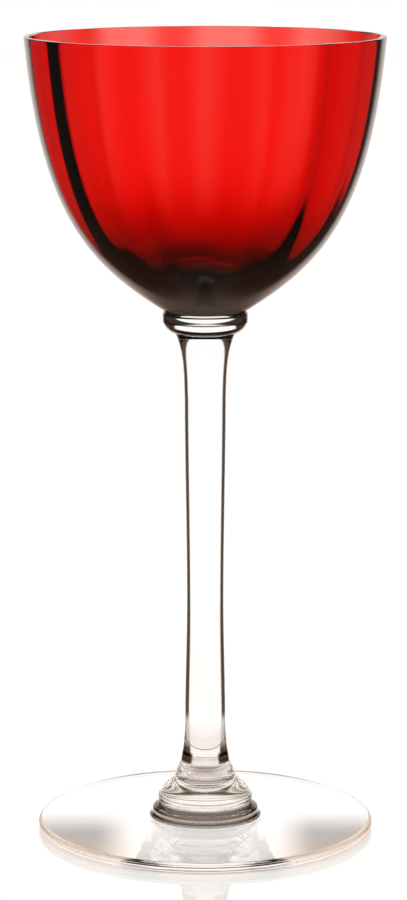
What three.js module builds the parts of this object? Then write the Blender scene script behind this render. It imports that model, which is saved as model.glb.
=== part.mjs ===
// Hock glass: a ruby bowl with ten inner flutes on a clear collar, a long clear stem,
// a stepped base knop and a thin clear foot. Every piece is turned about the Z axis,
// and each one rests on the flat face of the piece under it.
// Millimetres, +Z up. The origin is the middle of the foot's flat underside.

import * as THREE from 'three';

// Foot
const footDiameter = 80.4;
const footEdgeHeight = 2.55;
const footCentreHeight = 2.9;
const footEdgeRounding = 1.1;

// Footing ring, the flared ring that joins the knop to the foot
const footingDiameter = 26.9;
const footingHeight = 3.45;
const footingSwellDiameter = 25.4;
const footingNeckDiameter = 22.2;

// Knop, a low dome on a straight lip
const knopLipDiameter = 22.6;
const knopLipHeight = 1.65;
const knopDomeDiameter = 21.8;
const knopTopDiameter = 13.9;
const knopHeight = 6.75;

// Stem ring, the small bead between the knop and the stem
const stemRingHeight = 2.5;
const stemRingLowerDiameter = 14.2;
const stemRingUpperDiameter = 12.2;

// Stem
const stemLength = 104.8;
const stemFootDiameter = 11.8;
const stemLowerDiameter = 9.66;
const stemWaistDiameter = 8.74;
const stemUpperDiameter = 9.78;
const stemTopDiameter = 14.2;
const stemFootFlare = 10.6;
const stemTopFlare = 15.5;
const stemWaistShare = 0.38;

// Collar, the rounded bead under the bowl
const collarDiameter = 20.1;
const collarHeight = 5.2;
const collarTopDiameter = 18.9;
const collarBottomDiameter = 14.2;

// Bowl
const bowlHeight = 64.4;
const rimDiameter = 84.3;
const bowlSeatDiameter = 18.9;
const bowlBaseAngle = 32.4;
const bowlBaseReach = 20.9;
const bowlRimAngle = 85.1;
const bowlRimReach = 42.1;
const wallThickness = 1.9;
const wallSwell = 4.9;
const bowlFloorThickness = 9;

// Flutes on the inside of the bowl, with a ridge between each two
const fluteCount = 10;
const fluteDepth = 0.74;
const ridgeAngle = 10.8;
const ridgeSharpness = 0.75;

// Facets
const turnedSegments = 40;
const segmentsPerFlute = 8;
const curveSteps = 4;
const bowlCurveSteps = 12;

const degrees = THREE.MathUtils.degToRad;

const clearGlass = { color: 0xf4f2ee, roughness: 0.02, metalness: 0 };
const rubyGlass = { color: 0xd9120f, roughness: 0.02, metalness: 0 };

// Heights of the joints between the pieces, stacked from the underside of the foot.
const footingSeat = footCentreHeight;
const knopSeat = footingSeat + footingHeight;
const stemRingSeat = knopSeat + knopHeight;
const stemSeat = stemRingSeat + stemRingHeight;
const collarSeat = stemSeat + stemLength;
const bowlSeat = collarSeat + collarHeight;
const rimHeight = bowlSeat + bowlHeight;

// Turns an outline of (radius, height) points, drawn from the bottom of the axis up its
// outside to the top, and stands it on the Z axis.
function turn(outline, segments, startAngle = 0) {
  const geometry = new THREE.LatheGeometry(outline, segments, startAngle);
  geometry.rotateX(Math.PI / 2);
  return geometry;
}

// The outline of a solid piece: flat below and above, with the side between them drawn as
// curves. Each curve is [x1, z1, x2, z2, x, z], heights counted from the piece's seat.
function solidOutline(bottomRadius, curves, seat) {
  const side = new THREE.Path();
  side.moveTo(bottomRadius, 0);
  for (const curve of curves) {
    side.bezierCurveTo(...curve);
  }
  const points = side.getPoints(curveSteps);
  const top = points[points.length - 1];
  points.unshift(new THREE.Vector2(0, 0));
  points.push(new THREE.Vector2(0, top.y));
  return points.map((point) => new THREE.Vector2(point.x, point.y + seat));
}

function makeMesh(name, geometry, finish) {
  const mesh = new THREE.Mesh(geometry, new THREE.MeshStandardMaterial(finish));
  mesh.name = name;
  return mesh;
}

// A thin disc with a rounded edge, which thickens a little towards its flat middle.
function makeFoot() {
  const radius = footDiameter / 2;
  const seatRadius = footingDiameter / 2 + footEdgeRounding;
  const rounding = Math.min(footEdgeRounding, footEdgeHeight / 2);
  const edge = new THREE.Path();
  edge.moveTo(radius - rounding, 0);
  edge.absarc(radius - rounding, rounding, rounding, -Math.PI / 2, 0, false);
  edge.lineTo(radius, footEdgeHeight - rounding);
  edge.absarc(radius - rounding, footEdgeHeight - rounding, rounding, 0, Math.PI / 2, false);
  const outline = [new THREE.Vector2(0, 0), ...edge.getPoints(curveSteps)];
  outline.push(new THREE.Vector2(seatRadius, footCentreHeight));
  outline.push(new THREE.Vector2(0, footCentreHeight));
  return makeMesh('foot', turn(outline, turnedSegments * 1.5), clearGlass);
}

// A skirt that flares to the foot, with a shoulder above it.
function makeFootingRing() {
  const foot = footingDiameter / 2;
  const swell = footingSwellDiameter / 2;
  const neck = footingNeckDiameter / 2;
  const height = footingHeight;
  const middle = height * 0.45;
  const outline = solidOutline(foot, [
    [swell + (foot - swell) * 0.3, middle * 0.25, swell, middle * 0.55, swell, middle],
    [swell, height * 0.65, neck + (swell - neck) * 0.2, height * 0.7, neck, height],
  ], footingSeat);
  return makeMesh('footing_ring', turn(outline, turnedSegments), clearGlass);
}

// A straight lip with a dome rising from it to the seat of the stem ring.
function makeKnop() {
  const lip = knopLipDiameter / 2;
  const dome = knopDomeDiameter / 2;
  const top = knopTopDiameter / 2;
  const ease = (lip - dome) / 2;
  const rise = knopHeight - knopLipHeight;
  const outline = solidOutline(lip - ease, [
    [lip, 0, lip, ease, lip, knopLipHeight / 2],
    [lip, knopLipHeight - ease, lip, knopLipHeight, dome, knopLipHeight],
    [dome - (dome - top) * 0.08, knopLipHeight + rise * 0.4,
      top + (dome - top) * 0.24, knopLipHeight + rise * 0.6, top, knopHeight],
  ], knopSeat);
  return makeMesh('knop', turn(outline, turnedSegments), clearGlass);
}

// A short bead that carries the stem's flare on to the knop.
function makeStemRing() {
  const lower = stemRingLowerDiameter / 2;
  const upper = stemRingUpperDiameter / 2;
  const outline = solidOutline(lower, [
    [lower, stemRingHeight / 3, upper + (lower - upper) / 3, stemRingHeight * 0.7, upper, stemRingHeight],
  ], stemRingSeat);
  return makeMesh('stem_ring', turn(outline, turnedSegments), clearGlass);
}

// A long drawn stem, narrowest a little below its middle and flared at both ends.
function makeStem() {
  const foot = stemFootDiameter / 2;
  const lower = stemLowerDiameter / 2;
  const waist = stemWaistDiameter / 2;
  const upper = stemUpperDiameter / 2;
  const top = stemTopDiameter / 2;
  const waistHeight = stemFootFlare + (stemLength - stemFootFlare - stemTopFlare) * stemWaistShare;
  const upperHeight = stemLength - stemTopFlare;
  const below = (waistHeight - stemFootFlare) / 3;
  const above = (upperHeight - waistHeight) / 3;
  const outline = solidOutline(foot, [
    [foot - (foot - lower) * 0.6, stemFootFlare * 0.3, lower, stemFootFlare * 0.7, lower, stemFootFlare],
    [lower, stemFootFlare + below, waist, waistHeight - below, waist, waistHeight],
    [waist, waistHeight + above, upper - (upper - waist) * 0.1, upperHeight - above, upper, upperHeight],
    [upper + (upper - waist) * 0.34, stemLength - stemTopFlare * 0.56,
      upper + (top - upper) * 0.1, stemLength - stemTopFlare * 0.3, top, stemLength],
  ], stemSeat);
  return makeMesh('stem', turn(outline, turnedSegments), clearGlass);
}

// A bead, well rounded below and a little at its top.
function makeCollar() {
  const full = collarDiameter / 2;
  const top = collarTopDiameter / 2;
  const bottom = collarBottomDiameter / 2;
  const height = collarHeight;
  const outline = solidOutline(bottom, [
    [bottom + (full - bottom) * 0.4, height * 0.05, full, height * 0.3, full, height * 0.66],
    [full, height * 0.72, full, height * 0.78, full, height * 0.84],
    [full, height * 0.93, top + (full - top) * 0.4, height, top, height],
  ], collarSeat);
  return makeMesh('collar', turn(outline, turnedSegments), clearGlass);
}

// The outside of the bowl, one curve from its seat to its rim.
function bowlOutside() {
  const seat = new THREE.Vector2(bowlSeatDiameter / 2, bowlSeat);
  const rim = new THREE.Vector2(rimDiameter / 2, rimHeight);
  const baseAngle = degrees(bowlBaseAngle);
  const rimAngle = degrees(bowlRimAngle);
  const lower = new THREE.Vector2(Math.cos(baseAngle), Math.sin(baseAngle));
  const upper = new THREE.Vector2(-Math.cos(rimAngle), -Math.sin(rimAngle));
  lower.multiplyScalar(bowlBaseReach).add(seat);
  upper.multiplyScalar(bowlRimReach).add(rim);
  return new THREE.CubicBezierCurve(seat, lower, upper, rim);
}

// The inside of the bowl runs beside the outside, with a wall that swells towards the
// base, and is closed by a rounded floor.
function bowlInside(outside) {
  const startShare = 0.24;
  const wall = [];
  for (let step = 0; step <= bowlCurveSteps; step += 1) {
    const share = startShare + (1 - startShare) * (step / bowlCurveSteps);
    const tangent = outside.getTangent(share);
    const inward = new THREE.Vector2(-tangent.y, tangent.x);
    const thickness = wallThickness + wallSwell * (1 - share) ** 4;
    wall.push(outside.getPoint(share).addScaledVector(inward, thickness));
  }
  const start = wall[0];
  const tangent = outside.getTangent(startShare);
  const floor = bowlSeat + bowlFloorThickness;
  const turnRadius = start.x - (start.y - floor) * (tangent.x / tangent.y);
  const floorCurve = new THREE.QuadraticBezierCurve(
    new THREE.Vector2(0, floor), new THREE.Vector2(turnRadius, floor), start);
  return [...floorCurve.getPoints(curveSteps).slice(0, -1), ...wall];
}

// The rim is a small half round between the two sides of the wall.
function bowlOutline() {
  const outside = bowlOutside();
  const inside = bowlInside(outside);
  const outer = outside.getPoints(bowlCurveSteps);
  const rim = outer.pop();
  const innerRim = inside.pop();
  const lip = (wallThickness - fluteDepth) / 4;
  const rimPoints = [
    new THREE.Vector2(rim.x, rim.y - lip),
    new THREE.Vector2(rim.x - lip, rim.y),
    new THREE.Vector2(innerRim.x + lip, rim.y),
    new THREE.Vector2(innerRim.x, rim.y - lip),
  ];
  const seat = new THREE.Vector2(0, bowlSeat);
  const points = [seat, ...outer, ...rimPoints, ...inside.reverse()];
  return { points, firstInner: 1 + outer.length + rimPoints.length / 2 };
}

// The flutes run round the bowl as one even wave, with wide hollows and narrower ridges.
// They die out on the floor of the bowl.
function fluteHollow(angle, height) {
  const turned = fluteCount * (angle - degrees(ridgeAngle));
  const wave = (1 - Math.cos(turned)) / 2;
  const hollow = fluteDepth * wave * (1 + 2 * ridgeSharpness * (1 - wave));
  const fadeStart = bowlSeat + bowlFloorThickness;
  const fadeEnd = fadeStart + bowlHeight / 5;
  return hollow * THREE.MathUtils.smoothstep(height, fadeStart, fadeEnd);
}

function makeBowl() {
  const { points, firstInner } = bowlOutline();
  const segments = fluteCount * segmentsPerFlute;
  const geometry = turn(points, segments, degrees(ridgeAngle));
  const position = geometry.getAttribute('position');
  for (let column = 0; column <= segments; column += 1) {
    const angle = degrees(ridgeAngle) + (column / segments) * 2 * Math.PI;
    for (let row = firstInner; row < points.length - 1; row += 1) {
      const index = column * points.length + row;
      const radius = points[row].x + fluteHollow(angle, points[row].y);
      position.setX(index, radius * Math.sin(angle));
      position.setY(index, -radius * Math.cos(angle));
    }
  }
  geometry.computeVertexNormals();
  return makeMesh('ruby_bowl', geometry, rubyGlass);
}

const hockGlass = new THREE.Group();
hockGlass.add(makeFoot(), makeFootingRing(), makeKnop(), makeStemRing());
hockGlass.add(makeStem(), makeCollar(), makeBowl());

export default hockGlass;
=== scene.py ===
"""A hock glass: a fluted ruby bowl on a clear collar, stem, stepped knop and foot.

Every piece is turned about the Z axis. The frame gives each piece's place and height, and
the widths of the foot and the bowl. The classes below give the rest of the outlines. The
glass's sizes are in millimetres and the studio's in metres, except where a name says
otherwise, and angles are in degrees. All objects are made in metres.
"""

import logging
import math
from collections.abc import Sequence
from dataclasses import dataclass
from enum import Enum
from typing import Any, ClassVar

import bpy
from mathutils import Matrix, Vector


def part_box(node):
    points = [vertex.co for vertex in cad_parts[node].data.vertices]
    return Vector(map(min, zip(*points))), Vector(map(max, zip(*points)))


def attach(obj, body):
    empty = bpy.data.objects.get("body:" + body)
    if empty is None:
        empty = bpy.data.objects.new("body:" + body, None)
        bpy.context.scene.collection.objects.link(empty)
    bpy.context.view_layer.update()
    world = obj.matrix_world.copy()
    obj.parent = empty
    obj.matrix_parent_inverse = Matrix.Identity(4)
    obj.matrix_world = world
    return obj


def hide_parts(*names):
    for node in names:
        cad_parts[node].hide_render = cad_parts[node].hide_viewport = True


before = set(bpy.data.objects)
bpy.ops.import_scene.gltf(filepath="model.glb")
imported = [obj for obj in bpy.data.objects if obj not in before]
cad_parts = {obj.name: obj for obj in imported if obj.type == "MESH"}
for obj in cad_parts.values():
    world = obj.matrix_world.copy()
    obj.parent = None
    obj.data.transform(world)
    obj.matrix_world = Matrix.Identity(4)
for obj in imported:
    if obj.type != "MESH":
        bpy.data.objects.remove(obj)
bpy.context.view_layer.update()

MM = 0.001
SHARP_ANGLE = 32.0
WHITE = "ffffff"
LOG = logging.getLogger("hock_glass")

Material = bpy.types.Material
Mesh = bpy.types.Mesh
Node = bpy.types.Node
Object = bpy.types.Object
Socket = bpy.types.NodeSocket
Tree = bpy.types.NodeTree
Point = tuple[float, float]
Stops = Sequence[tuple[float, str]]


class GlassPart(Enum):
    """The slots of the record that the glass takes its finishes from."""

    RUBY = "ruby_glass"
    CLEAR = "clear_glass"


def linear(hex_colour: str) -> tuple[float, float, float, float]:
    """Turns an sRGB hex colour to linear values.

    Args:
        hex_colour: six hex digits, such as "f4f2ee".

    Returns:
        Red, green, blue and an alpha of 1.
    """
    values = []
    for start in (0, 2, 4):
        share = int(hex_colour[start:start + 2], 16) / 255
        low = share / 12.92
        high = ((share + 0.055) / 1.055) ** 2.4
        values.append(low if share <= 0.04045 else high)
    return (values[0], values[1], values[2], 1.0)


def add_node(
    tree: Tree,
    kind: str,
    inputs: dict[str | int, Any] | None = None,
    stops: Stops = (),
    **settings: Any,
) -> Node:
    """Adds a node, sets it up and links what feeds it.

    Args:
        tree: the node tree that the node goes into.
        kind: the node's type name.
        inputs: for each input, by name or number, a socket to link or a value to set.
        stops: for a colour ramp, two or more places from 0 to 1 with their hex colours.
        settings: the node's own properties.

    Returns:
        The new node.
    """
    node = tree.nodes.new(kind)
    for name, value in settings.items():
        setattr(node, name, value)
    for key, value in (inputs or {}).items():
        if isinstance(value, Socket):
            tree.links.new(value, node.inputs[key])
        else:
            node.inputs[key].default_value = value
    # A new ramp has two stops of its own, which are used before any is added.
    for index, (place, colour) in enumerate(stops):
        elements = node.color_ramp.elements
        element = elements[index] if index < 2 else elements.new(place)
        element.position = place
        element.color = linear(colour)
    return node


def bare_tree(owner: Material | bpy.types.World) -> Tree:
    """Switches on a material's or world's nodes and clears them away.

    Args:
        owner: the new material or world.

    Returns:
        Its empty tree.
    """
    owner.use_nodes = True
    owner.node_tree.nodes.clear()
    return owner.node_tree


def add_object(name: str, data: bpy.types.ID) -> Object:
    """Makes an object and puts it into the scene.

    Args:
        name: the object's name.
        data: its mesh, lamp or camera.

    Returns:
        The new object.
    """
    made = bpy.data.objects.new(name, data)
    bpy.context.scene.collection.objects.link(made)
    return made


def cubic(start: Point, first: Point, second: Point, end: Point, steps: int) -> list[Point]:
    """Draws a cubic curve.

    Args:
        start: the first point.
        first: the first handle.
        second: the second handle.
        end: the last point.
        steps: how many steps the curve is drawn in.

    Returns:
        The points after the start, up to the end.
    """
    points = []
    for step in range(1, steps + 1):
        t = step / steps
        weights = ((1 - t) ** 3, 3 * (1 - t) ** 2 * t, 3 * (1 - t) * t * t, t ** 3)
        corners = (start, first, second, end)
        points.append(tuple(sum(w * c[i] for w, c in zip(weights, corners)) for i in (0, 1)))
    return points


def quarter_round(centre: Point, radius: float, start: float, steps: int) -> list[Point]:
    """Draws a quarter of a circle, anticlockwise.

    Args:
        centre: the circle's centre.
        radius: its radius.
        start: the angle at which the quarter starts.
        steps: how many steps it is drawn in.

    Returns:
        The points from one end to the other.
    """
    points = []
    for step in range(steps + 1):
        angle = math.radians(start + 90.0 * step / steps)
        points.append((centre[0] + radius * math.cos(angle), centre[1] + radius * math.sin(angle)))
    return points


def side_outline(bottom: Point, curves: Sequence[Sequence[float]], steps: int) -> list[Point]:
    """Draws the side of a turned piece as curves, one after the other.

    Args:
        bottom: the radius and height where the side starts.
        curves: each is (r1, z1, r2, z2, r, z), its two handles and its end.
        steps: how many steps each curve is drawn in.

    Returns:
        The points of the side, from the bottom up.
    """
    points = [bottom]
    for r1, z1, r2, z2, r, z in curves:
        points += cubic(points[-1], (r1, z1), (r2, z2), (r, z), steps)
    return points


def own_axes(tree: Tree) -> Node:
    """Adds a node that gives the X, Y and Z of a place on the piece.

    Args:
        tree: the material's tree.

    Returns:
        The node, whose outputs are in metres.
    """
    place = add_node(tree, "ShaderNodeTexCoord")
    return add_node(tree, "ShaderNodeSeparateXYZ", {0: place.outputs["Object"]})


def slanted(tree: Tree, start: float, end: float) -> Socket:
    """Finds where light meets a surface at a slant.

    Args:
        tree: the material's tree.
        start: the Layer Weight facing value where it begins.
        end: the facing value from which it is full.

    Returns:
        A value from 0 to 1.
    """
    facing = add_node(tree, "ShaderNodeLayerWeight").outputs["Facing"]
    return add_node(
        tree, "ShaderNodeMapRange", {0: facing, 1: start, 2: end}, interpolation_type="SMOOTHSTEP"
    ).outputs[0]


def turned_back(tree: Tree, start: float, end: float) -> Socket:
    """Finds light that meets a surface from inside at a slant and is turned back.

    Args:
        tree: the material's tree.
        start: the Layer Weight facing value where it begins.
        end: the facing value where all of it is turned back.

    Returns:
        A value from 0 to 1.
    """
    inside = add_node(tree, "ShaderNodeNewGeometry").outputs["Backfacing"]
    slant = slanted(tree, start, end)
    return add_node(tree, "ShaderNodeMath", {0: inside, 1: slant}, operation="MULTIPLY").outputs[0]


def from_outside(tree: Tree, share: Socket) -> Socket:
    """Keeps a value for light that meets a surface from outside, and gives 0 inside it.

    Args:
        tree: the material's tree.
        share: the value.

    Returns:
        The value, or 0.
    """
    inside = add_node(tree, "ShaderNodeNewGeometry").outputs["Backfacing"]
    outside = add_node(tree, "ShaderNodeMath", {0: 1.0, 1: inside}, operation="SUBTRACT")
    kept = {0: share, 1: outside.outputs[0]}
    return add_node(tree, "ShaderNodeMath", kept, operation="MULTIPLY").outputs[0]


def height_band(tree: Tree, height_mm: float, core_mm: float, half_mm: float) -> Socket:
    """Finds a level band round a piece.

    Args:
        tree: the material's tree.
        height_mm: the height of the band's middle.
        core_mm: half the height over which the band is full.
        half_mm: half the height over which it shows at all.

    Returns:
        A value from 0 to 1.
    """
    above = {0: own_axes(tree).outputs["Z"], 1: height_mm * MM}
    rise = add_node(tree, "ShaderNodeMath", above, operation="SUBTRACT")
    away = add_node(tree, "ShaderNodeMath", {0: rise.outputs[0]}, operation="ABSOLUTE")
    return add_node(tree, "ShaderNodeMapRange", {
        0: away.outputs[0], 1: core_mm * MM, 2: half_mm * MM, 3: 1.0, 4: 0.0,
    }, interpolation_type="SMOOTHSTEP").outputs[0]


@dataclass(frozen=True)
class ClearCrystal:
    """Clear lead crystal, worked hot and fire-polished."""

    name: str
    tint: str = "fdfcfa"
    painted_shade_tint: str = "55463a"
    ior: float = 1.53
    roughness: float = 0.0
    ripple_mm: float = 9.0
    ripple_strength: float = 0.012
    slant_start: float = 0.235
    slant_end: float = 0.26
    soft_share: float = 0.0
    soft_ior: float = 1.04

    def material(self) -> Material:
        """Makes the material.

        Returns:
            The finished material.
        """
        material = bpy.data.materials.new(self.name)
        tree = bare_tree(material)
        # Cooling glass keeps faint waves; they bend the light a little at grazing angles.
        place = add_node(tree, "ShaderNodeTexCoord")
        waves = add_node(tree, "ShaderNodeTexNoise", {
            "Vector": place.outputs["Object"], "Scale": 1 / (self.ripple_mm * MM), "Detail": 1.0,
        })
        bump = add_node(tree, "ShaderNodeBump", {
            "Height": waves.outputs["Fac"], "Strength": self.ripple_strength, "Distance": MM,
        })
        polish = {"Roughness": self.roughness, "Normal": bump.outputs["Normal"]}
        glass = add_node(tree, "ShaderNodeBsdfPrincipled", {
            "Base Color": linear(self.tint), "IOR": self.ior, "Transmission Weight": 1.0, **polish,
        })
        # Painted shade: the glass is painted dark brown where it turns the light back on itself.
        depth = add_node(tree, "ShaderNodeBsdfGlass", {
            "Color": linear(self.painted_shade_tint), "IOR": self.ior, **polish,
        })
        surface = add_node(tree, "ShaderNodeMixShader", {
            0: self.painted_shade_share(tree), 1: glass.outputs[0], 2: depth.outputs[0],
        })
        if self.soft_share > 0:
            # Fire-polished steps are so shallow that much of the white behind shows unbent.
            soft = add_node(tree, "ShaderNodeBsdfGlass", {
                "Color": linear(self.tint), "IOR": self.soft_ior, **polish,
            })
            surface = add_node(tree, "ShaderNodeMixShader", {
                0: self.soft_share, 1: surface.outputs[0], 2: soft.outputs[0],
            })
        add_node(tree, "ShaderNodeOutputMaterial", {"Surface": surface.outputs[0]})
        return material

    def painted_shade_share(self, tree: Tree) -> Socket:
        """Returns how far the glass is painted dark as shade, from 0 to 1, as a socket of the tree.
        """
        return turned_back(tree, self.slant_start, self.slant_end)


@dataclass(frozen=True)
class CreaseShadedCrystal(ClearCrystal):
    """Clear crystal with painted shade at a fine crease, where the jacks closed on the hot bead."""

    crease_shade_height_mm: float = 123.3
    crease_shade_half_mm: float = 0.3

    def painted_shade_share(self, tree: Tree) -> Socket:
        """Adds the painted shade at the crease to the rest of the painted shade.

        Args:
            tree: the material's tree.

        Returns:
            A value from 0 to 1.
        """
        crease = height_band(tree, self.crease_shade_height_mm, 0.0, self.crease_shade_half_mm)
        either = {0: super().painted_shade_share(tree), 1: from_outside(tree, crease)}
        return add_node(tree, "ShaderNodeMath", either, operation="MAXIMUM").outputs[0]


@dataclass(frozen=True)
class FlaredCrystal(ClearCrystal):
    """Clear crystal with painted shade at both sides of the flare at its foot."""

    flare_shade_height_mm: float = 17.6
    flare_shade_core_mm: float = 0.9
    flare_shade_half_mm: float = 1.7
    side_start: float = 0.14
    side_end: float = 0.22
    pale_height_mm: float = 22.5
    pale_core_mm: float = 2.0
    pale_half_mm: float = 5.0
    pale_share: float = 0.65

    def painted_shade_share(self, tree: Tree) -> Socket:
        """Adds painted shade at the flare's sides, and takes some of it off the stem's sides above.

        Args:
            tree: the material's tree.

        Returns:
            A value from 0 to 1.
        """
        low = height_band(tree, self.flare_shade_height_mm, self.flare_shade_core_mm, self.flare_shade_half_mm)
        both = {0: low, 1: slanted(tree, self.side_start, self.side_end)}
        flare = add_node(tree, "ShaderNodeMath", both, operation="MULTIPLY")
        pale = height_band(tree, self.pale_height_mm, self.pale_core_mm, self.pale_half_mm)
        left = add_node(
            tree, "ShaderNodeMath", {0: pale, 1: -self.pale_share, 2: 1.0}, operation="MULTIPLY_ADD"
        )
        dark = {0: super().painted_shade_share(tree), 1: left.outputs[0]}
        sides = add_node(tree, "ShaderNodeMath", dark, operation="MULTIPLY")
        either = {0: sides.outputs[0], 1: from_outside(tree, flare.outputs[0])}
        return add_node(tree, "ShaderNodeMath", either, operation="MAXIMUM").outputs[0]


@dataclass(frozen=True)
class RubyGlass:
    """Ruby glass coloured right through, so a thick wall is deeper red than a thin one."""

    name: str = "Ruby glass, blown into a fluted mould"
    ior: float = 1.52
    roughness: float = 0.0
    red_loss_per_mm: float = 0.042
    green_loss_per_mm: float = 1.54
    blue_loss_per_mm: float = 1.66
    base_tint: str = "c97870"
    fade_low_mm: float = 7.0
    fade_high_mm: float = 30.0
    side_tint: str = "dcb2a4"
    side_start: float = 0.17
    side_end: float = 0.34
    painted_shade_tint: str = "2a1512"
    slant_start: float = 0.225
    slant_end: float = 0.245
    seam_shade_colour: str = "4c4038"
    seam_low_mm: float = 0.2
    seam_high_mm: float = 9.0
    seam_share: float = 0.85
    veil_shade_high_mm: float = 26.0
    veil_shade_share: float = 0.1
    rim_start: float = 0.7
    rim_end: float = 0.96
    joint_reach_mm: float = 0.05

    def material(self, joint_height: float, joint_radius: float) -> Material:
        """Makes the material.

        Args:
            joint_height: the height of the face fused to the collar, in metres.
            joint_radius: the radius of that face, in metres.

        Returns:
            The finished material.
        """
        material = bpy.data.materials.new(self.name)
        tree = bare_tree(material)
        axes = own_axes(tree)
        surface = add_node(tree, "ShaderNodeBsdfPrincipled", {
            "Base Color": self.wall_tone(tree, axes, joint_height),
            "IOR": self.ior,
            "Roughness": self.roughness,
            "Transmission Weight": 1.0,
        })
        # Painted shade: ruby glass is painted nearly black where it turns the light back on itself.
        depth = add_node(tree, "ShaderNodeBsdfGlass", {
            "Color": linear(self.painted_shade_tint), "IOR": self.ior, "Roughness": self.roughness,
        })
        # Painted shade: the seam over the collar is a dark brown diffuse surface.
        seam_shade_bsdf = add_node(tree, "ShaderNodeBsdfDiffuse", {"Color": linear(self.seam_shade_colour)})
        # The face fused to the collar has no surface of its own, so light passes straight on.
        open_face = add_node(tree, "ShaderNodeBsdfTransparent")
        for share, cover in (
            (turned_back(tree, self.slant_start, self.slant_end), depth),
            (self.seam_shade(tree, axes, joint_height), seam_shade_bsdf),
            (self.fused(tree, axes, joint_height, joint_radius), open_face),
        ):
            surface = add_node(
                tree, "ShaderNodeMixShader", {0: share, 1: surface.outputs[0], 2: cover.outputs[0]}
            )
        losses = (self.red_loss_per_mm, self.green_loss_per_mm, self.blue_loss_per_mm)
        density = max(losses) / MM
        passed = [1 - loss / MM / density for loss in losses]
        inside = add_node(
            tree, "ShaderNodeVolumeAbsorption", {"Color": (*passed, 1.0), "Density": density}
        )
        add_node(tree, "ShaderNodeOutputMaterial", {
            "Surface": surface.outputs[0], "Volume": inside.outputs[0],
        })
        return material

    def wall_tone(self, tree: Tree, axes: Node, joint_height: float) -> Socket:
        """Finds the tone of the wall's skin, over the red that the glass has inside.

        Args:
            tree: the material's tree.
            axes: the node that gives X, Y and Z.
            joint_height: the height of the face fused to the collar, in metres.

        Returns:
            A colour.
        """
        # The wall's skin is tinted a deeper red near the base, fading out above it.
        base_fade = add_node(tree, "ShaderNodeMapRange", {
            0: axes.outputs["Z"],
            1: joint_height + self.fade_low_mm * MM,
            2: joint_height + self.fade_high_mm * MM,
        }, interpolation_type="SMOOTHSTEP")
        shade = add_node(tree, "ShaderNodeMix", {
            0: base_fade.outputs[0], 6: linear(self.base_tint), 7: linear(WHITE),
        }, data_type="RGBA")
        # Light that crosses the wall at a slant at the sides comes through a deeper red.
        facing = add_node(tree, "ShaderNodeLayerWeight").outputs["Facing"]
        stops = ((self.side_start, WHITE), (self.side_end, self.side_tint))
        sides = add_node(tree, "ShaderNodeValToRGB", {0: facing}, stops)
        return add_node(tree, "ShaderNodeMix", {
            0: 1.0, 6: shade.outputs[2], 7: sides.outputs[0],
        }, data_type="RGBA", blend_type="MULTIPLY").outputs[2]

    def seam_shade(self, tree: Tree, axes: Node, joint_height: float) -> Socket:
        """Finds the painted shade of the seam over the collar and its faint veil fading out above.

        Args:
            tree: the material's tree.
            axes: the node that gives X, Y and Z.
            joint_height: the height of the face fused to the collar, in metres.

        Returns:
            A value from 0 to 1.
        """
        shade_bands = []
        for low_mm, high_mm, share, fading in (
            (self.seam_low_mm, self.seam_high_mm, self.seam_share, "SMOOTHSTEP"),
            (0.0, self.veil_shade_high_mm, self.veil_shade_share, "LINEAR"),
        ):
            shade_band = add_node(tree, "ShaderNodeMapRange", {
                0: axes.outputs["Z"],
                1: joint_height + low_mm * MM,
                2: joint_height + high_mm * MM,
                3: share,
                4: 0.0,
            }, interpolation_type=fading)
            shade_bands.append(shade_band.outputs[0])
        seam_and_veil_shade = add_node(
            tree, "ShaderNodeMath", dict(enumerate(shade_bands)), operation="ADD", use_clamp=True
        )
        # Seen along the surface, the painted shade fades out.
        facing = add_node(tree, "ShaderNodeLayerWeight").outputs["Facing"]
        along = add_node(tree, "ShaderNodeMapRange", {
            0: facing, 1: self.rim_start, 2: self.rim_end, 3: 1.0, 4: 0.0,
        }, interpolation_type="SMOOTHSTEP")
        shown = {0: seam_and_veil_shade.outputs[0], 1: along.outputs[0]}
        return add_node(tree, "ShaderNodeMath", shown, operation="MULTIPLY").outputs[0]

    def fused(self, tree: Tree, axes: Node, joint_height: float, joint_radius: float) -> Socket:
        """Finds the face that is fused to the collar.

        Args:
            tree: the material's tree.
            axes: the node that gives X, Y and Z.
            joint_height: the height of that face, in metres.
            joint_radius: its radius, in metres.

        Returns:
            1 on the face and 0 elsewhere.
        """
        level = {"X": axes.outputs["X"], "Y": axes.outputs["Y"]}
        flat = add_node(tree, "ShaderNodeCombineXYZ", level)
        radius = add_node(tree, "ShaderNodeVectorMath", {0: flat.outputs[0]}, operation="LENGTH")
        within = []
        for distance, limit in (
            (axes.outputs["Z"], joint_height + self.joint_reach_mm * MM),
            (radius.outputs["Value"], joint_radius),
        ):
            near = {0: distance, 1: limit}
            within.append(add_node(tree, "ShaderNodeMath", near, operation="LESS_THAN").outputs[0])
        return add_node(
            tree, "ShaderNodeMath", dict(enumerate(within)), operation="MULTIPLY"
        ).outputs[0]


@dataclass(frozen=True)
class FusedFace:
    """The face where two gathers of clear glass are fused: light passes straight through."""

    name: str = "Fused joint in clear crystal"

    def material(self) -> Material:
        """Makes the material.

        Returns:
            The finished material.
        """
        material = bpy.data.materials.new(self.name)
        tree = bare_tree(material)
        passing = add_node(tree, "ShaderNodeBsdfTransparent")
        add_node(tree, "ShaderNodeOutputMaterial", {"Surface": passing.outputs[0]})
        return material


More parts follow.
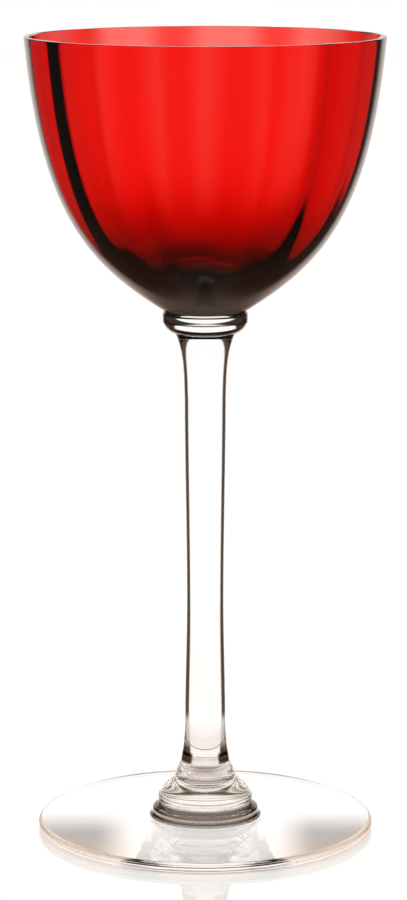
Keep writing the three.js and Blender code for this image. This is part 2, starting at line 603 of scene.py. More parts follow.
def turned_mesh(name: str, outline: Sequence[Point], segments: int, seat: float) -> Mesh:
    """Turns an outline about the Z axis into a closed mesh.

    Args:
        name: the mesh's name.
        outline: radius and height in millimetres, on the axis at both ends.
        segments: how many steps go round.
        seat: the height that the outline's heights are counted from, in metres.

    Returns:
        The mesh, whose faces are ordered band by band from the bottom.
    """
    rings = outline[1:-1]
    vertices = [(0.0, 0.0, seat + outline[0][1] * MM)]
    for radius, height in rings:
        for step in range(segments):
            angle = 2 * math.pi * step / segments
            x = radius * MM * math.cos(angle)
            y = radius * MM * math.sin(angle)
            vertices.append((x, y, seat + height * MM))
    vertices.append((0.0, 0.0, seat + outline[-1][1] * MM))
    top = len(vertices) - 1
    last = 1 + (len(rings) - 1) * segments
    turns = [(step, (step + 1) % segments) for step in range(segments)]
    faces = [(0, 1 + after, 1 + step) for step, after in turns]
    for low in range(1, last, segments):
        high = low + segments
        faces += [(low + step, low + after, high + after, high + step) for step, after in turns]
    faces += [(last + step, last + after, top) for step, after in turns]
    mesh = bpy.data.meshes.new(name)
    mesh.from_pydata(vertices, [], faces)
    mesh.shade_smooth()
    mesh.set_sharp_from_angle(angle=math.radians(SHARP_ANGLE))
    mesh.validate()
    return mesh


@dataclass
class TurnedPiece:
    """A solid turned about the Z axis, standing on the piece under it.

    Subclasses give the side's outline above the piece's own seat, and their glass. A curve's
    handles stand at shares of the way from one size to the next.
    """

    lower_joint_radius: float = 0.0
    upper_joint_radius: float = 0.0
    segments: int = 160
    curve_steps: int = 24
    joint_gap: float = 0.01

    node: ClassVar[str]
    glass: ClassVar[ClearCrystal]

    def side(self) -> list[Point]:
        """Returns the side's points, from the seat up."""
        raise NotImplementedError

    def seat(self) -> float:
        """Returns the height of the piece's seat in metres."""
        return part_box(self.node)[0].z

    def height(self) -> float:
        """Returns the piece's own height in millimetres."""
        low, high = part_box(self.node)
        return (high.z - low.z) / MM

    def outline(self) -> list[Point]:
        """Closes the side below and above, with a ring where each joint ends.

        Returns:
            The outline, from the axis below to the axis above.
        """
        side = self.side()
        bottom = side[0][1]
        top = side[-1][1]
        below = [(0.0, bottom)]
        above = [(0.0, top)]
        if 0 < self.lower_joint_radius < side[0][0]:
            below.append((self.lower_joint_radius, bottom))
        if 0 < self.upper_joint_radius < side[-1][0]:
            above.insert(0, (self.upper_joint_radius, top))
        return below + side + above

    def is_fused(self, band: tuple[Point, Point]) -> bool:
        """Says whether a band of the outline lies on a fused joint.

        Args:
            band: the two ends of the band.

        Returns:
            True for a band on the lower or upper joint.
        """
        side = self.side()
        (r0, z0), (r1, z1) = band
        reach = max(r0, r1)
        on_bottom = z0 == z1 == side[0][1] and reach <= self.lower_joint_radius
        on_top = z0 == z1 == side[-1][1] and reach <= self.upper_joint_radius
        return on_bottom or on_top

    def build(self, joint: Material) -> Object:
        """Makes the piece's mesh and dresses it.

        Args:
            joint: the material of the faces that are fused to other pieces.

        Returns:
            The finished piece.
        """
        outline = self.outline()
        mesh = turned_mesh(self.node, outline, self.segments, self.seat())
        mesh.materials.append(self.glass.material())
        mesh.materials.append(joint)
        fused = [self.is_fused(band) for band in zip(outline, outline[1:])]
        for face in mesh.polygons:
            face.material_index = int(fused[face.index // self.segments])
        self.shrink_joints(mesh)
        return add_object("crystal_" + self.node, mesh)

    def shrink_joints(self, mesh: Mesh) -> None:
        """Draws the fused faces back a little, so that no two faces share one plane.

        Args:
            mesh: the piece's mesh.
        """
        lowest = min(v.co.z for v in mesh.vertices)
        highest = max(v.co.z for v in mesh.vertices)
        for vertex in mesh.vertices:
            # The foot's underside is on the table and isn't a joint, so it stays.
            if lowest > MM and vertex.co.z == lowest:
                vertex.co.z += self.joint_gap * MM
            elif vertex.co.z == highest:
                vertex.co.z -= self.joint_gap * MM


@dataclass
class Foot(TurnedPiece):
    """The thin round disc that the glass stands on."""

    edge_height: float = 2.55
    rounding: float = 1.1
    middle_radius: float = 14.6
    segments: int = 320

    node: ClassVar[str] = "foot"
    # Spun out flat and thin, it is nearly invisible but for its edge.
    glass: ClassVar[ClearCrystal] = ClearCrystal(
        "Clear lead crystal, spun flat", tint="fffefd", painted_shade_tint="fffefd"
    )

    def side(self) -> list[Point]:
        """Draws the edge's rounding and the slope up to the middle.

        Returns:
            The side's points, from the seat up.
        """
        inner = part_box(self.node)[1].x / MM - self.rounding
        low = (inner, self.rounding)
        high = (inner, self.edge_height - self.rounding)
        return [
            *quarter_round(low, self.rounding, -90.0, self.curve_steps),
            *quarter_round(high, self.rounding, 0.0, self.curve_steps),
            (self.middle_radius, self.height()),
        ]


@dataclass
class FootingRing(TurnedPiece):
    """The flared ring between the knop and the foot."""

    foot_radius: float = 13.45
    swell_radius: float = 12.7
    neck_radius: float = 11.1
    swell_share: float = 0.45

    node: ClassVar[str] = "footing_ring"
    # The thickest of the clear glass, it is painted smoky grey all round as shade.
    glass: ClassVar[ClearCrystal] = ClearCrystal(
        "Clear lead crystal, thick, shaded grey", tint="7a6d64", painted_shade_tint="5a4e46",
        slant_start=0.145, slant_end=0.175,
    )

    def side(self) -> list[Point]:
        """Draws the skirt that flares to the foot and the shoulder above it.

        Returns:
            The side's points, from the seat up.
        """
        foot, swell, neck = self.foot_radius, self.swell_radius, self.neck_radius
        height = self.height()
        middle = height * self.swell_share
        return side_outline((foot, 0.0), [
            (swell + (foot - swell) * 0.3, middle * 0.25, swell, middle * 0.55, swell, middle),
            (swell, height * 0.65, neck + (swell - neck) * 0.2, height * 0.7, neck, height),
        ], self.curve_steps)


@dataclass
class Knop(TurnedPiece):
    """A low dome on a short straight lip."""

    lip_radius: float = 11.3
    lip_height: float = 1.65
    dome_radius: float = 10.9
    top_radius: float = 6.95

    node: ClassVar[str] = "knop"
    # Tooled in shallow steps, it shows pale, with thin level lines.
    glass: ClassVar[ClearCrystal] = ClearCrystal(
        "Clear lead crystal, tooled", tint="fffcfa", painted_shade_tint="fffcfa", ior=1.5, soft_share=0.3
    )

    def side(self) -> list[Point]:
        """Draws the lip and the dome.

        Returns:
            The side's points, from the seat up.
        """
        lip, dome, top = self.lip_radius, self.dome_radius, self.top_radius
        height = self.height()
        ease = (lip - dome) / 2
        rise = height - self.lip_height
        return side_outline((lip - ease, 0.0), [
            (lip, 0, lip, ease, lip, self.lip_height / 2),
            (lip, self.lip_height - ease, lip, self.lip_height, dome, self.lip_height),
            (
                dome - (dome - top) * 0.08, self.lip_height + rise * 0.4,
                top + (dome - top) * 0.24, self.lip_height + rise * 0.6,
                top, height,
            ),
        ], self.curve_steps)


@dataclass
class StemRing(TurnedPiece):
    """The small bead between the stem and the knop."""

    lower_radius: float = 7.1
    upper_radius: float = 6.1

    node: ClassVar[str] = "stem_ring"
    # Nipped in with the jacks, it is painted pale grey as shade, so it shows as one band.
    glass: ClassVar[ClearCrystal] = ClearCrystal(
        "Clear lead crystal, nipped in", tint="e8e0d9", painted_shade_tint="e8e0d9", ior=1.4,
        soft_share=0.4,
    )

    def side(self) -> list[Point]:
        """Draws the bead's slightly rounded side.

        Returns:
            The side's points, from the seat up.
        """
        lower, upper, height = self.lower_radius, self.upper_radius, self.height()
        return side_outline((lower, 0.0), [
            (lower, height / 3, upper + (lower - upper) / 3, height * 0.7, upper, height),
        ], self.curve_steps)


@dataclass
class Stem(TurnedPiece):
    """The long drawn stem, narrowest below its middle and flared at both ends."""

    foot_radius: float = 5.9
    lower_radius: float = 4.83
    waist_radius: float = 4.37
    upper_radius: float = 4.89
    top_radius: float = 7.1
    foot_flare: float = 10.6
    top_flare: float = 15.5
    waist_share: float = 0.38
    curve_steps: int = 40

    node: ClassVar[str] = "stem"
    # Drawn long, it is clear down its middle, with a thin line of painted shade down both sides.
    glass: ClassVar[ClearCrystal] = FlaredCrystal(
        "Clear lead crystal, drawn hot", slant_start=0.145, slant_end=0.175
    )

    def side(self) -> list[Point]:
        """Draws the two flares and the long waist between them.

        Returns:
            The side's points, from the seat up.
        """
        height = self.height()
        foot, lower, waist = self.foot_radius, self.lower_radius, self.waist_radius
        upper, top = self.upper_radius, self.top_radius
        high = height - self.top_flare
        middle = self.foot_flare + (high - self.foot_flare) * self.waist_share
        below = (middle - self.foot_flare) / 3
        above = (high - middle) / 3
        return side_outline((foot, 0.0), [
            (
                foot - (foot - lower) * 0.6, self.foot_flare * 0.3,
                lower, self.foot_flare * 0.7,
                lower, self.foot_flare,
            ),
            (lower, self.foot_flare + below, waist, middle - below, waist, middle),
            (waist, middle + above, upper - (upper - waist) * 0.1, high - above, upper, high),
            (
                upper + (upper - waist) * 0.34, height - self.top_flare * 0.56,
                upper + (top - upper) * 0.1, height - self.top_flare * 0.3,
                top, height,
            ),
        ], self.curve_steps)


@dataclass
class Collar(TurnedPiece):
    """The half-round bead under the bowl."""

    full_radius: float = 10.05
    top_radius: float = 9.45
    bottom_radius: float = 7.1

    node: ClassVar[str] = "collar"
    # Squeezed into a bead, it is bright in its middle and painted dark above and below as shade.
    glass: ClassVar[ClearCrystal] = CreaseShadedCrystal(
        "Clear lead crystal, beaded", painted_shade_tint="3a2e26", slant_start=0.105, slant_end=0.13
    )

    def side(self) -> list[Point]:
        """Draws the bead, well rounded below and a little at its top.

        Returns:
            The side's points, from the seat up.
        """
        full, top, bottom = self.full_radius, self.top_radius, self.bottom_radius
        height = self.height()
        return side_outline((bottom, 0.0), [
            (bottom + (full - bottom) * 0.4, height * 0.05, full, height * 0.3, full, height * 0.66),
            (full, height * 0.72, full, height * 0.78, full, height * 0.84),
            (full, height * 0.93, top + (full - top) * 0.4, height, top, height),
        ], self.curve_steps)


@dataclass
class Bowl:
    """The ruby bowl: turned outside, with shallow flutes carved down its inside."""

    seat_radius: float = 9.45
    joint_radius: float = 9.4
    base_angle: float = 32.4
    base_reach: float = 20.9
    rim_angle: float = 85.1
    rim_reach: float = 42.1
    wall: float = 1.9
    wall_swell: float = 4.9
    swell_power: int = 4
    floor_thickness: float = 9.0
    floor_share: float = 0.24
    floor_steps: int = 22
    flute_count: int = 10
    flute_depth: float = 0.74
    flute_fade_parts: int = 5
    ridge_angle: float = 10.8
    ridge_sharpness: float = 0.75
    lip_rounding: float = 0.3
    lip_steps: int = 8
    segments: int = 360
    curve_steps: int = 90
    joint_gap: float = 0.01

    node: ClassVar[str] = "ruby_bowl"
    glass: ClassVar[RubyGlass] = RubyGlass()

    def size(self) -> tuple[float, float, float]:
        """Returns the seat's height in metres, and the rim's radius and height in mm."""
        low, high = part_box(self.node)
        return low.z, (high.x - low.x) / 2 / MM, (high.z - low.z) / MM

    def outside(self) -> list[Point]:
        """Draws the outside as one curve.

        Returns:
            The outside's points, from the seat to the rim.
        """
        _, rim_radius, height = self.size()
        base = math.radians(self.base_angle)
        rim = math.radians(self.rim_angle)
        start = (self.seat_radius, 0.0)
        first = (
            start[0] + self.base_reach * math.cos(base),
            self.base_reach * math.sin(base),
        )
        second = (
            rim_radius - self.rim_reach * math.cos(rim),
            height - self.rim_reach * math.sin(rim),
        )
        return [start, *cubic(start, first, second, (rim_radius, height), self.curve_steps)]

    def inside(self, outside: Sequence[Point]) -> list[Point]:
        """Runs beside the outside and closes with a rounded floor.

        Args:
            outside: the outside's points.

        Returns:
            The inside's points, from the axis up.
        """
        wall = []
        first = round(self.floor_share * self.curve_steps)
        for index in range(first, self.curve_steps + 1):
            before = Vector(outside[max(index - 1, 0)])
            after = Vector(outside[min(index + 1, self.curve_steps)])
            along = (after - before).normalized()
            share = index / self.curve_steps
            thickness = self.wall + self.wall_swell * (1 - share) ** self.swell_power
            radius, height = outside[index]
            wall.append((radius - along.y * thickness, height + along.x * thickness))
        start = wall[0]
        slope = (wall[1][1] - start[1]) / (wall[1][0] - start[0])
        turn = start[0] - (start[1] - self.floor_thickness) / slope
        floor = []
        for step in range(self.floor_steps):
            t = step / self.floor_steps
            radius = 2 * (1 - t) * t * turn + t * t * start[0]
            height = (1 - t * t) * self.floor_thickness + t * t * start[1]
            floor.append((radius, height))
        return floor + wall

    def build(self) -> Object:
        """Makes the bowl, carves its flutes and dresses it.

        Returns:
            The finished bowl as a plain mesh.
        """
        seat, rim_radius, height = self.size()
        outside = self.outside()
        inside = self.inside(outside)
        rounding = self.lip_rounding
        shoulder = height - rounding
        lip = [
            *quarter_round((rim_radius - rounding, shoulder), rounding, 0.0, self.lip_steps),
            *quarter_round((inside[-1][0] + rounding, shoulder), rounding, 90.0, self.lip_steps),
        ]
        outer = [point for point in outside if point[1] < shoulder]
        inner = [point for point in inside if point[1] < shoulder]
        outline = [(0.0, 0.0), (self.joint_radius, 0.0), *outer, *lip, *reversed(inner)]
        mesh = turned_mesh(self.node, outline, self.segments, seat)
        self.mark_inside(mesh, len(outer) + 1, len(lip))
        for vertex in mesh.vertices:
            if vertex.co.z == seat:
                vertex.co.z += self.joint_gap * MM
        return self.carve(
            add_object("turned_bowl", mesh), self.glass.material(seat, self.joint_radius * MM)
        )

    def mark_inside(self, mesh: Mesh, outer_rings: int, lip_rings: int) -> None:
        """Writes how far each vertex moves with the flutes: 0 outside, up to 1 inside.

        Args:
            mesh: the turned bowl.
            outer_rings: how many rings lie below and outside.
            lip_rings: how many rings round the lip.
        """
        seat, rim_radius, height = self.size()
        fade_start = self.floor_thickness
        fade_end = fade_start + height / self.flute_fade_parts
        marks = mesh.attributes.new("inside_share", "FLOAT", "POINT")
        for vertex in mesh.vertices:
            ring = (vertex.index - 1) // self.segments
            beyond = 0.0 if ring < outer_rings - 1 else 1.0
            if outer_rings - 1 <= ring < outer_rings + lip_rings:
                radius = vertex.co.xy.length / MM
                beyond = min(max((rim_radius - radius) / self.wall, 0.0), 1.0)
            level = (vertex.co.z - seat) / MM
            rise = min(max((level - fade_start) / (fade_end - fade_start), 0.0), 1.0)
            fade = rise * rise * (3 - 2 * rise)
            marks.data[vertex.index].value = beyond * fade

    def carve(self, turned: Object, material: Material) -> Object:
        """Carves the flutes with geometry nodes and keeps the result as a plain mesh.

        Args:
            turned: the bowl as turned, with its inside marked.
            material: the finish that the nodes set.

        Returns:
            The carved bowl.
        """
        tree = flute_tree()
        modifier = turned.modifiers.new("flutes", "NODES")
        modifier.node_group = tree
        values = {
            "Flute Count": self.flute_count,
            "Flute Depth": self.flute_depth * MM,
            "Ridge Angle": math.radians(self.ridge_angle),
            "Ridge Sharpness": self.ridge_sharpness,
            "Glass": material,
        }
        for item in tree.interface.items_tree:
            if item.name in values:
                modifier[item.identifier] = values[item.name]
        bpy.context.view_layer.update()
        depsgraph = bpy.context.evaluated_depsgraph_get()
        mesh = bpy.data.meshes.new_from_object(turned.evaluated_get(depsgraph))
        mesh.name = self.node
        bpy.data.objects.remove(turned)
        return add_object("blown_" + self.node, mesh)


def flute_tree() -> bpy.types.GeometryNodeTree:
    """Builds the tree that hollows flutes out of the marked side of a turned bowl.

    Returns:
        The tree, with inputs for the flutes' count, depth and turn and the ridges' sharpness.
    """
    tree = bpy.data.node_groups.new("carve flutes", "GeometryNodeTree")
    for name, kind in (
        ("Bowl", "Geometry"),
        ("Flute Count", "Int"),
        ("Flute Depth", "Float"),
        ("Ridge Angle", "Float"),
        ("Ridge Sharpness", "Float"),
        ("Glass", "Material"),
    ):
        tree.interface.new_socket(name, in_out="INPUT", socket_type="NodeSocket" + kind)
    tree.interface.new_socket("Carved", in_out="OUTPUT", socket_type="NodeSocketGeometry")
    given = add_node(tree, "NodeGroupInput").outputs
    place = add_node(tree, "GeometryNodeInputPosition")
    axes = add_node(tree, "ShaderNodeSeparateXYZ", {0: place.outputs[0]}).outputs
    mark = add_node(tree, "GeometryNodeInputNamedAttribute", {"Name": "inside_share"})
    # Each row is a value, how it is worked out and from what: first the way round from the
    # front, counted in flutes, and then how deep the glass is hollowed there.
    found = {"x": axes["X"], "y": axes["Y"], "mark": mark.outputs["Attribute"]}
    found.update({socket.name: socket for socket in given})
    for name, operation, *terms in (
        ("front", "MULTIPLY", "y", -1.0),
        ("angle", "ARCTAN2", "x", "front"),
        ("past", "SUBTRACT", "angle", "Ridge Angle"),
        ("pitch", "DIVIDE", 2 * math.pi, "Flute Count"),
        ("flutes", "DIVIDE", "past", "pitch"),
        ("phase", "MULTIPLY", "flutes", 2 * math.pi),
        ("wave", "COSINE", "phase"),
        ("dip", "SUBTRACT", 1.0, "wave"),
        ("share", "MULTIPLY", "dip", 0.5),
        ("left", "SUBTRACT", 1.0, "share"),
        ("slack", "MULTIPLY", "left", 2.0),
        ("widened", "MULTIPLY_ADD", "slack", "Ridge Sharpness", 1.0),
        ("shape", "MULTIPLY", "share", "widened"),
        ("hollow", "MULTIPLY", "shape", "Flute Depth"),
        ("depth", "MULTIPLY", "hollow", "mark"),
    ):
        inputs = {number: found.get(term, term) for number, term in enumerate(terms)}
        found[name] = add_node(tree, "ShaderNodeMath", inputs, operation=operation).outputs[0]
    outward = add_node(tree, "ShaderNodeCombineXYZ", {"X": axes["X"], "Y": axes["Y"]})
    unit = add_node(tree, "ShaderNodeVectorMath", {0: outward.outputs[0]}, operation="NORMALIZE")
    carved = {0: unit.outputs[0], "Scale": found["depth"]}
    offset = add_node(tree, "ShaderNodeVectorMath", carved, operation="SCALE")
    moved = add_node(
        tree, "GeometryNodeSetPosition", {"Geometry": given["Bowl"], "Offset": offset.outputs[0]}
    )
    real = add_node(tree, "GeometryNodeRealizeInstances", {0: moved.outputs[0]})
    dressed = add_node(
        tree, "GeometryNodeSetMaterial", {"Geometry": real.outputs[0], "Material": given["Glass"]}
    )
    add_node(tree, "NodeGroupOutput", {0: dressed.outputs[0]})
    return tree


@dataclass
class Studio:
    """A pale table, a white background and the camera at the photograph's angle."""

    camera_distance: float = 0.772
    camera_height: float = 0.2345
    camera_tilt: float = 10.44
    camera_turn: float = 0.031
    camera_reach: tuple[float, float] = (0.05, 20.0)
    focal_px: float = 3307.0
    frame_height_px: float = 900.0
    sensor_mm: float = 36.0
    bounces: int = 40
    open_bounces: int = 32
    # The table: a white sheet, of which a share is lit by the lamps, with a warm sheen.
    table_size: float = 6.0
    table_gap_mm: float = 0.05
    sheet_colour: str = "fffefc"
    glow_colour: str = "fefdf9"
    sheet_share: float = 0.2
    sheet_ior: float = 2.0
    sheen_colour: tuple[float, float, float] = (0.66, 0.5, 0.42)
    sheen_roughness: float = 0.02
    # What the glass mirrors: white behind it, up to a height given as the sine of an angle,
    # a dark room round that, and a glow on the sheet near the glass.
    room_colour: str = "564a47"
    room_rise: tuple[float, float] = (0.6, 0.95)
    mirrored_white: str = "fff0e9"
    mirrored_half_angle: float = 30.0
    mirrored_softness: float = 0.2
    near_radius: float = 0.04
    near_colour: str = "ffd8c4"
    steep_gleam: Stops = (
        (0.0, "66483e"),
        (0.087, "9a7262"),
        (0.25, "c89c88"),
        (0.45, "ecc8b6"),
        (0.7, "fff0e9"),
    )
    # What shows through the glass: the sheet under its foot, painted darker as shade the more
    # steeply it is looked at, and the studio, by the angle above the horizon.
    patch_radius: float = 0.043
    through_strength: float = 1.12
    steep_standing: Stops = (
        (0.0, "5e524a"),
        (0.1, "7e7068"),
        (0.2, "c8beb6"),
        (0.3, "f4ede8"),
        (0.42, WHITE),
    )
    through_glass: Stops = (
        (-90.0, "6e645a"),
        (-50.0, "b4a79c"),
        (-37.0, "e0d2c8"),
        (-24.0, "f4e8e0"),
        (-14.0, WHITE),
        (26.0, WHITE),
        (42.0, "6a5c50"),
        (90.0, "40362e"),
    )
    # The soft shade under the foot, which starts and is full at these distances.
    shade_colour: str = "5c5650"
    shade_side_mm: tuple[float, float] = (15.0, 27.0)
    shade_front_mm: tuple[float, float] = (-8.0, 17.0)

    def camera(self) -> None:
        """Makes the camera."""
        data = bpy.data.cameras.new("camera")
        data.sensor_width = self.sensor_mm
        data.lens = self.sensor_mm * self.focal_px / self.frame_height_px
        data.clip_start, data.clip_end = self.camera_reach
        camera = add_object("camera", data)
        camera.location = (0, -self.camera_distance, self.camera_height)
        tilt = math.radians(90 - self.camera_tilt)
        camera.rotation_euler = (tilt, 0, math.radians(self.camera_turn))
        bpy.context.scene.camera = camera

    def seen_through(self, tree: Tree, rise: Socket) -> Socket:
        """Makes what shows through the glass: white behind it, dim above and far below.

        Args:
            tree: the world's tree.
            rise: the sine of the direction's angle above the horizon.

        Returns:
            A colour.
        """
        half = {0: rise, 1: 0.5, 2: 0.5}
        share = add_node(tree, "ShaderNodeMath", half, operation="MULTIPLY_ADD").outputs[0]
        stops = []
        for angle, colour in self.through_glass:
            stops.append(((math.sin(math.radians(angle)) + 1) / 2, colour))
        return add_node(tree, "ShaderNodeValToRGB", {0: share}, stops).outputs[0]

    def sector(self, tree: Tree, axes: Node) -> Socket:
        """Finds what lies behind the glass as the camera looks.

        Args:
            tree: the tree that the nodes go into.
            axes: the node that gives X, Y and Z.

        Returns:
            1 behind the glass, falling to 0 at either side of it.
        """
        level = {0: axes.outputs["X"], 1: axes.outputs["Y"]}
        turn = add_node(tree, "ShaderNodeMath", level, operation="ARCTAN2")
        side = add_node(tree, "ShaderNodeMath", {0: turn.outputs[0]}, operation="ABSOLUTE")
        edge = math.radians(self.mirrored_half_angle)
        return add_node(tree, "ShaderNodeMapRange", {
            0: side.outputs[0],
            1: edge * (1 - self.mirrored_softness),
            2: edge * (1 + self.mirrored_softness),
            3: 1.0,
            4: 0.0,
        }, interpolation_type="SMOOTHSTEP").outputs[0]

    def mirrored(self, tree: Tree, axes: Node) -> Socket:
        """Makes what the glass mirrors: the white background, and a dark room round it.

        Args:
            tree: the world's tree.
            axes: the node that gives the direction's X, Y and Z.

        Returns:
            A colour.
        """
        low, high = self.room_rise
        up = add_node(tree, "ShaderNodeMapRange", {
            0: axes.outputs["Z"], 1: low, 2: high, 3: 1.0, 4: 0.0,
        }, interpolation_type="SMOOTHSTEP")
        behind = {0: self.sector(tree, axes), 1: up.outputs[0]}
        share = add_node(tree, "ShaderNodeMath", behind, operation="MULTIPLY")
        return add_node(tree, "ShaderNodeMix", {
            0: share.outputs[0], 6: linear(self.room_colour), 7: linear(self.mirrored_white),
        }, data_type="RGBA").outputs[2]

    def world(self) -> None:
        """Makes the world: plain white to the camera, a studio to the glass."""
        world = bpy.data.worlds.new("studio")
        bpy.context.scene.world = world
        tree = bare_tree(world)
        place = add_node(tree, "ShaderNodeTexCoord")
        axes = add_node(tree, "ShaderNodeSeparateXYZ", {0: place.outputs["Generated"]})
        through = self.seen_through(tree, axes.outputs["Z"])
        behind = {0: through, "Scale": self.through_strength}
        bright = add_node(tree, "ShaderNodeVectorMath", behind, operation="SCALE")
        # The table's own sheen is a little soft, which tells it from what the glass mirrors.
        path = add_node(tree, "ShaderNodeLightPath").outputs
        open_white = (*(1 / part for part in self.sheen_colour), 1.0)
        glossy = add_node(tree, "ShaderNodeMix", {
            0: path["Is Singular Ray"], 6: open_white, 7: self.mirrored(tree, axes),
        }, data_type="RGBA")
        shiny = add_node(tree, "ShaderNodeMix", {
            0: path["Is Glossy Ray"], 6: linear(WHITE), 7: glossy.outputs[2],
        }, data_type="RGBA")
        seen = add_node(tree, "ShaderNodeMix", {
            0: path["Is Transmission Ray"], 6: shiny.outputs[2], 7: bright.outputs[0],
        }, data_type="RGBA")
        background = add_node(tree, "ShaderNodeBackground", {"Color": seen.outputs[2]})
        add_node(tree, "ShaderNodeOutputWorld", {"Surface": background.outputs[0]})

    def foot_shade(self, tree: Tree, axes: Node) -> Socket:
        """Finds the soft shade that the foot throws on the sheet at the front of both sides.

        Args:
            tree: the table's tree.
            axes: the node that gives X, Y and Z.

        Returns:
            A value from 0 to 1.
        """
        aside = add_node(tree, "ShaderNodeMath", {0: axes.outputs["X"]}, operation="ABSOLUTE")
        front = {0: axes.outputs["Y"], 1: -1.0}
        ahead = add_node(tree, "ShaderNodeMath", front, operation="MULTIPLY")
        parts = []
        for distance, (low, high) in ((aside, self.shade_side_mm), (ahead, self.shade_front_mm)):
            part = add_node(tree, "ShaderNodeMapRange", {
                0: distance.outputs[0], 1: low * MM, 2: high * MM,
            }, interpolation_type="SMOOTHSTEP")
            parts.append(part.outputs[0])
        return add_node(
            tree, "ShaderNodeMath", dict(enumerate(parts)), operation="MULTIPLY"
        ).outputs[0]

    def gleam(self, tree: Tree, axes: Node, away: Socket, facing: Socket) -> Socket:
        """Makes what the glass mirrors of the sheet.

        Args:
            tree: the table's tree.
            axes: the node that gives X, Y and Z.
            away: the distance from the glass's axis.
            facing: how steeply the sheet is looked at.

        Returns:
            The light that the sheet gives to a mirror.
        """
        # The sheet is bright round the glass, where it fades with the square of the distance,
        # and behind it, and dark elsewhere.
        share = add_node(tree, "ShaderNodeMath", {0: self.near_radius, 1: away}, operation="DIVIDE")
        near = add_node(
            tree, "ShaderNodeMath", {0: share.outputs[0], 1: 2.0}, operation="POWER", use_clamp=True
        )
        lit = add_node(tree, "ShaderNodeMix", {
            0: near.outputs[0], 6: linear(self.room_colour), 7: linear(self.near_colour),
        }, data_type="RGBA")
        seen = add_node(tree, "ShaderNodeMix", {
            0: self.sector(tree, axes), 6: lit.outputs[2], 7: linear(WHITE),
        }, data_type="RGBA")
        # A polished sheet is bright at a grazing angle and dim and warm when looked down on.
        steep = add_node(tree, "ShaderNodeValToRGB", {0: facing}, self.steep_gleam)
        toned = add_node(tree, "ShaderNodeMix", {
            0: 1.0, 6: seen.outputs[2], 7: steep.outputs[0],
        }, data_type="RGBA", blend_type="MULTIPLY")
        return add_node(tree, "ShaderNodeEmission", {"Color": toned.outputs[2]}).outputs[0]

    def sheet_top(self, tree: Tree) -> Socket:
        """Makes the sheet as the camera sees it, white with a warm sheen.

        Args:
            tree: the table's tree.

        Returns:
            The surface of the sheet.
        """
        glow = add_node(tree, "ShaderNodeEmission", {"Color": linear(self.glow_colour)})
        sheet = add_node(tree, "ShaderNodeBsdfDiffuse", {"Color": linear(self.sheet_colour)})
        base = add_node(tree, "ShaderNodeMixShader", {
            0: self.sheet_share, 1: glow.outputs[0], 2: sheet.outputs[0],
        })
        shine = add_node(tree, "ShaderNodeBsdfGlossy", {
            "Color": (*self.sheen_colour, 1.0), "Roughness": self.sheen_roughness,
        })
        slant = add_node(tree, "ShaderNodeFresnel", {"IOR": self.sheet_ior})
        return add_node(tree, "ShaderNodeMixShader", {
            0: slant.outputs[0], 1: base.outputs[0], 2: shine.outputs[0],
        }).outputs[0]

    def seen_under(self, tree: Tree, axes: Node, away: Socket, facing: Socket) -> Socket:
        """Makes the sheet as it shows through the glass.

        Args:
            tree: the table's tree.
            axes: the node that gives X, Y and Z.
            away: the distance from the glass's axis.
            facing: how steeply the sheet is looked at.

        Returns:
            The patch that the glass stands on, with nothing round it.
        """
        # Painted shade: the patch is painted darker the more steeply it is seen through the glass.
        steep = add_node(tree, "ShaderNodeValToRGB", {0: facing}, self.steep_standing)
        shaded = add_node(tree, "ShaderNodeMix", {
            0: self.foot_shade(tree, axes), 6: steep.outputs[0], 7: linear(self.shade_colour),
        }, data_type="RGBA")
        standing = add_node(tree, "ShaderNodeEmission", {
            "Color": shaded.outputs[2], "Strength": self.through_strength,
        })
        # Round the patch the sheet lets the light pass, so the studio's white shows instead.
        clear = add_node(tree, "ShaderNodeBsdfTransparent")
        patch = {0: away, 1: self.patch_radius}
        beyond = add_node(tree, "ShaderNodeMath", patch, operation="GREATER_THAN")
        return add_node(tree, "ShaderNodeMixShader", {
            0: beyond.outputs[0], 1: standing.outputs[0], 2: clear.outputs[0],
        }).outputs[0]

    def sheet(self) -> Material:
        """Makes the table's material, which mirrors the glass faintly.

        Returns:
            The finished material.
        """
        material = bpy.data.materials.new("White acrylic sheet, polished")
        tree = bare_tree(material)
        place = add_node(tree, "ShaderNodeTexCoord").outputs["Object"]
        axes = add_node(tree, "ShaderNodeSeparateXYZ", {0: place})
        away = add_node(tree, "ShaderNodeVectorMath", {0: place}, operation="LENGTH")
        facing = add_node(tree, "ShaderNodeLayerWeight").outputs["Facing"]
        path = add_node(tree, "ShaderNodeLightPath").outputs
        given = (tree, axes, away.outputs["Value"], facing)
        outer = add_node(tree, "ShaderNodeMixShader", {
            0: path["Is Glossy Ray"], 1: self.sheet_top(tree), 2: self.gleam(*given),
        })
        shown = add_node(tree, "ShaderNodeMixShader", {
            0: path["Is Transmission Ray"], 1: outer.outputs[0], 2: self.seen_under(*given),
        })
        add_node(tree, "ShaderNodeOutputMaterial", {"Surface": shown.outputs[0]})
        return material

    def table(self) -> None:
        """Makes the pale, glossy table top."""
        half = self.table_size / 2
        below = -self.table_gap_mm * MM
        corners = [(-half, -half), (half, -half), (half, half), (-half, half)]
        mesh = bpy.data.meshes.new("table")
        mesh.from_pydata([(x, y, below) for x, y in corners], [], [(0, 1, 2, 3)])
        mesh.materials.append(self.sheet())
        add_object("table", mesh)

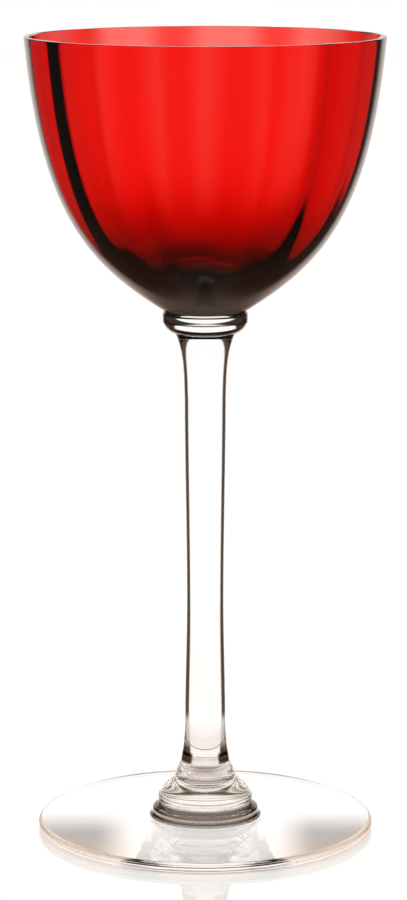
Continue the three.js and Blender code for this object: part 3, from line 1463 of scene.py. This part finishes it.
    def lamps(self) -> None:
        """Makes two soft lamps, which the glass doesn't mirror."""
        for name, place, size, watts in (
            ("key_lamp", (-0.9, -0.6, 1.4), 1.2, 14.0),
            ("fill_lamp", (1.0, 0.5, 1.2), 1.4, 9.0),
        ):
            data = bpy.data.lights.new(name, "AREA")
            data.size = size
            data.energy = watts
            lamp = add_object(name, data)
            lamp.location = place
            lamp.rotation_euler = (-Vector(place)).to_track_quat("-Z", "Y").to_euler()
            lamp.visible_glossy = False
            lamp.visible_transmission = False

    def build(self) -> None:
        """Makes the whole studio and sets how colours are shown and light is followed."""
        self.camera()
        self.world()
        self.table()
        self.lamps()
        scene = bpy.context.scene
        scene.view_settings.view_transform = "Standard"
        scene.cycles.max_bounces = self.bounces
        scene.cycles.transmission_bounces = self.bounces
        scene.cycles.glossy_bounces = self.bounces
        scene.cycles.transparent_max_bounces = self.open_bounces


def find_joints(pieces: Sequence[TurnedPiece], bowl: Bowl) -> None:
    """Gives each joint the radius of the narrower of the two faces that meet in it.

    Args:
        pieces: the clear pieces, from the foot up.
        bowl: the bowl, which stands on the last of them.
    """
    for lower, upper in zip(pieces, pieces[1:]):
        # Rounded to a thousandth, the two faces of a joint are alike to the last digit.
        radius = round(min(lower.side()[-1][0], upper.side()[0][0]), 3)
        lower.upper_joint_radius = radius
        upper.lower_joint_radius = radius
    pieces[-1].upper_joint_radius = bowl.joint_radius


def hand_over(piece: Object, node: str) -> None:
    """Ties a finished piece to the frame and reports it.

    Args:
        piece: the finished piece.
        node: the CAD node that it stands for.
    """
    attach(piece, "root")
    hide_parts(node)
    LOG.info("%s: %d faces", piece.name, len(piece.data.polygons))


def main() -> None:
    """Builds the studio and the glass, from the foot up."""
    logging.basicConfig(level=logging.INFO, format="%(name)s %(message)s")
    Studio().build()
    pieces = [Foot(), FootingRing(), Knop(), StemRing(), Stem(), Collar()]
    bowl = Bowl()
    find_joints(pieces, bowl)
    joint = FusedFace().material()
    for piece in pieces:
        hand_over(piece.build(joint), piece.node)
    hand_over(bowl.build(), bowl.node)


if __name__ == "__main__":
    main()
